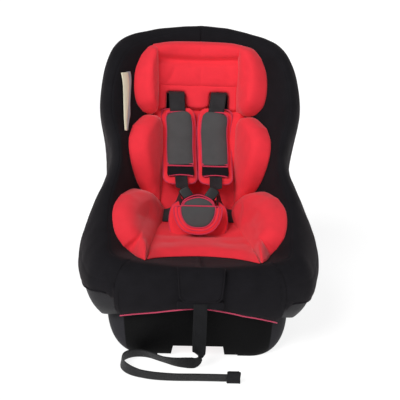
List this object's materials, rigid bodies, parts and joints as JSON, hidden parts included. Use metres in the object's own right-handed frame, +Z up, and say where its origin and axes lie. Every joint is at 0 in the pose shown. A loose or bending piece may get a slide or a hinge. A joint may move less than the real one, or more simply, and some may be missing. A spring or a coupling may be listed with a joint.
{
  "type": "convertible child car seat",
  "caption": "Child car seat with a padded bucket, five-point harness and front strap adjuster, reclining on a separate base.",
  "frame": {"origin": "centre of the seat's footprint on the surface it stands on, without the free strap", "axes": "+Z up, +Y to the back of the seat, +X to the right of somebody who faces the seat"},
  "size_m": [0.4558, 0.5608, 0.536],
  "materials": {
    "base_plastic": "moulded, fine grain",
    "shell_plastic": "moulded, fine grain",
    "tray_plastic": "moulded, satin",
    "lever_plastic": "moulded, satin",
    "buckle_plastic": "satin",
    "button_plastic": "satin",
    "adjuster_plastic": "satin",
    "steel": "zinc plated",
    "tongue_plastic": "satin",
    "black_fabric": "close woven",
    "red_fabric": "soft knit",
    "grey_fabric": "soft knit with red binding",
    "webbing": "woven webbing",
    "tag_cloth": "satin ribbon"
  },
  "bodies": {
    "base": {"base_shell": "base_plastic", "lever_axle": "steel", "lever_spring": "steel", "strap_floor": "webbing", "strap_stop": "webbing"},
    "lever": {"recline_lever": "lever_plastic"},
    "button": {"buckle_button": "button_plastic"},
    "cam": {"adjuster_cam": "adjuster_plastic"},
    "flap": {"front_flap": "black_fabric"},
    "crotch_flap": {"crotch_pad_front": "grey_fabric"},
    "seat": {"adjuster_axle": "steel", "adjuster_housing": "steel", "adjuster_spring": "steel", "adjuster_strap_inner": "webbing", "back_pad": "red_fabric", "blank_tag": "tag_cloth", "buckle_base": "buckle_plastic", "buckle_cover": "buckle_plastic", "buckle_latch": "steel", "buckle_spring": "steel", "chest_pad_left": "grey_fabric", "chest_pad_right": "grey_fabric", "crotch_anchor": "steel", "crotch_pad_rear": "red_fabric", "crotch_strap": "webbing", "head_pad": "red_fabric", "head_wing_left": "red_fabric", "head_wing_right": "red_fabric", "hip_anchor_left": "steel", "hip_anchor_right": "steel", "hip_bolster_left": "red_fabric", "hip_bolster_right": "red_fabric", "hip_strap_left": "webbing", "hip_strap_right": "webbing", "recline_rack": "tray_plastic", "seat_cover": "black_fabric", "seat_pad": "red_fabric", "seat_shell": "shell_plastic", "seat_tray": "tray_plastic", "shell_screws": "steel", "shoulder_strap_left": "webbing", "shoulder_strap_right": "webbing", "splitter_plate": "steel", "strap_bar": "steel", "strap_drop": "webbing", "tongue_left": "tongue_plastic", "tongue_right": "tongue_plastic", "torso_bolster_left": "red_fabric", "torso_bolster_right": "red_fabric"}
  },
  "joints": [
    {"name": "recline", "type": "hinge", "parent": "base", "child": "seat", "pos_m": [0, 0.01, 0.45], "axis": [-1, 0, 0], "range_deg": [0, 15]},
    {"name": "recline_lever", "type": "hinge", "parent": "base", "child": "lever", "pos_m": [0, -0.15, 0.052], "axis": [-1, 0, 0], "range_deg": [0, 18], "stiffness_Nm_per_rad": 0.4, "springref_deg": -8.59, "deforming": ["lever_spring"]},
    {"name": "buckle_button", "type": "slide", "parent": "seat", "child": "button", "axis": [0, 0.8576, -0.5143], "range_m": [0, 0.003], "stiffness_N_per_m": 600, "springref_m": -0.002, "deforming": ["buckle_spring"]},
    {"name": "adjuster_cam", "type": "hinge", "parent": "seat", "child": "cam", "pos_m": [0, -0.214, 0.127], "axis": [-1, 0, 0], "range_deg": [0, 18], "stiffness_Nm_per_rad": 0.15, "springref_deg": -11.46, "deforming": ["adjuster_spring"]},
    {"name": "front_flap", "type": "hinge", "parent": "seat", "child": "flap", "pos_m": [0, -0.2235, 0.1825], "axis": [-1, 0, 0], "range_deg": [0, 75]},
    {"name": "crotch_flap", "type": "hinge", "parent": "seat", "child": "crotch_flap", "pos_m": [0, -0.04315, 0.18206], "axis": [1, 0, 0], "range_deg": [0, 80]}
  ]
}
